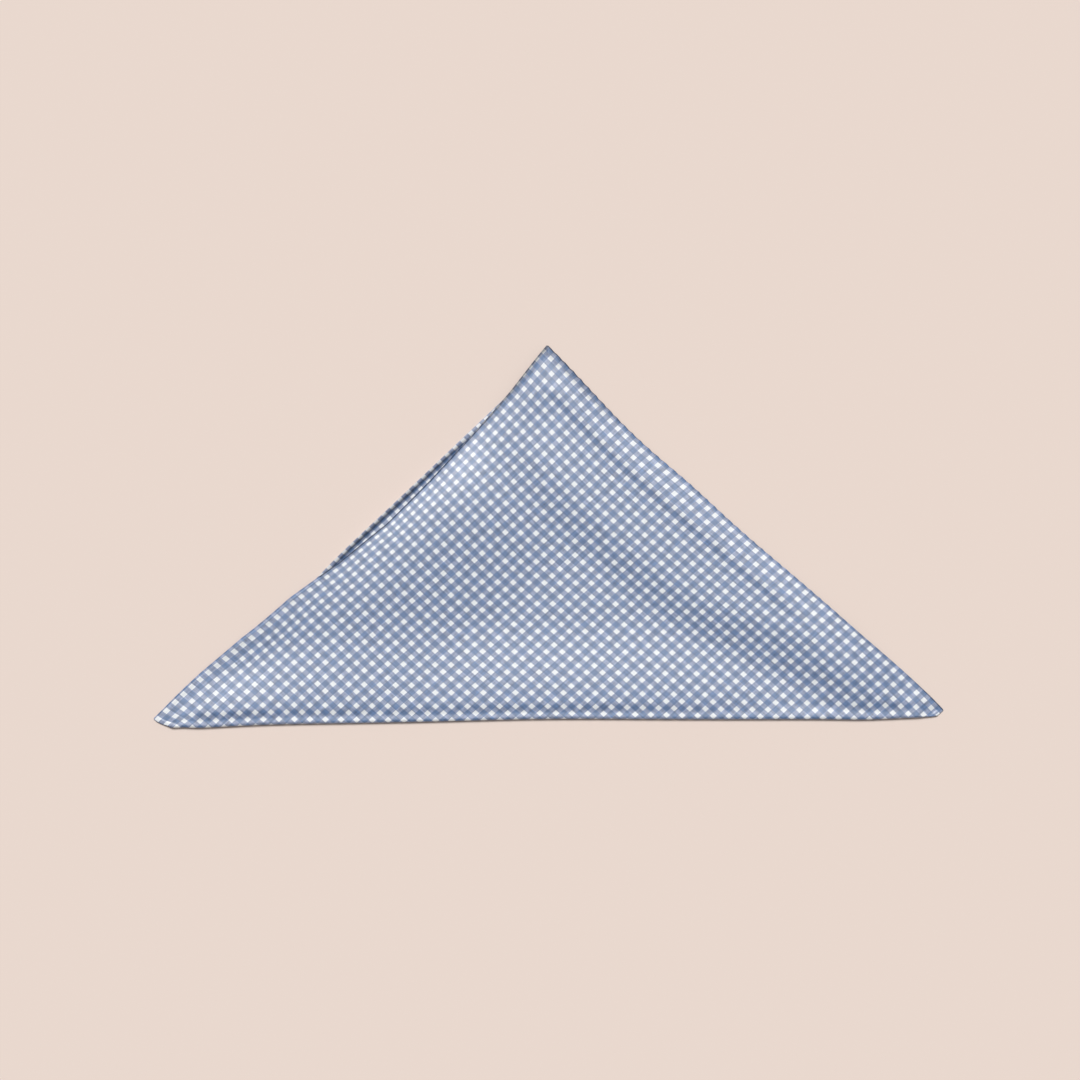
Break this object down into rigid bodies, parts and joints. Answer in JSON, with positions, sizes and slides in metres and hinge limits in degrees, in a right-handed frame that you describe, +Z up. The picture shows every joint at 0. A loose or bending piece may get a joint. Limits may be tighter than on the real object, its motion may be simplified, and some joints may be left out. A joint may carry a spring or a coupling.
{
  "type": "square silk scarf folded corner to corner",
  "caption": "Thin hemmed square of checked silk, folded once from corner to corner and laid flat as a soft, uneven triangle.",
  "frame": {"origin": "on the surface the scarf lies on, below the centre of its bounding box", "axes": "+X along the fold towards the right-hand corner, +Y from the fold towards the peak, +Z up from the surface"},
  "size_m": [0.7824, 0.3798, 0.0131],
  "materials": {
    "silk": "smooth silk twill with a soft sheen, woven or printed in a blue and white gingham check"
  },
  "bodies": {
    "root": {"scarf": "silk"}
  },
  "joints": []
}
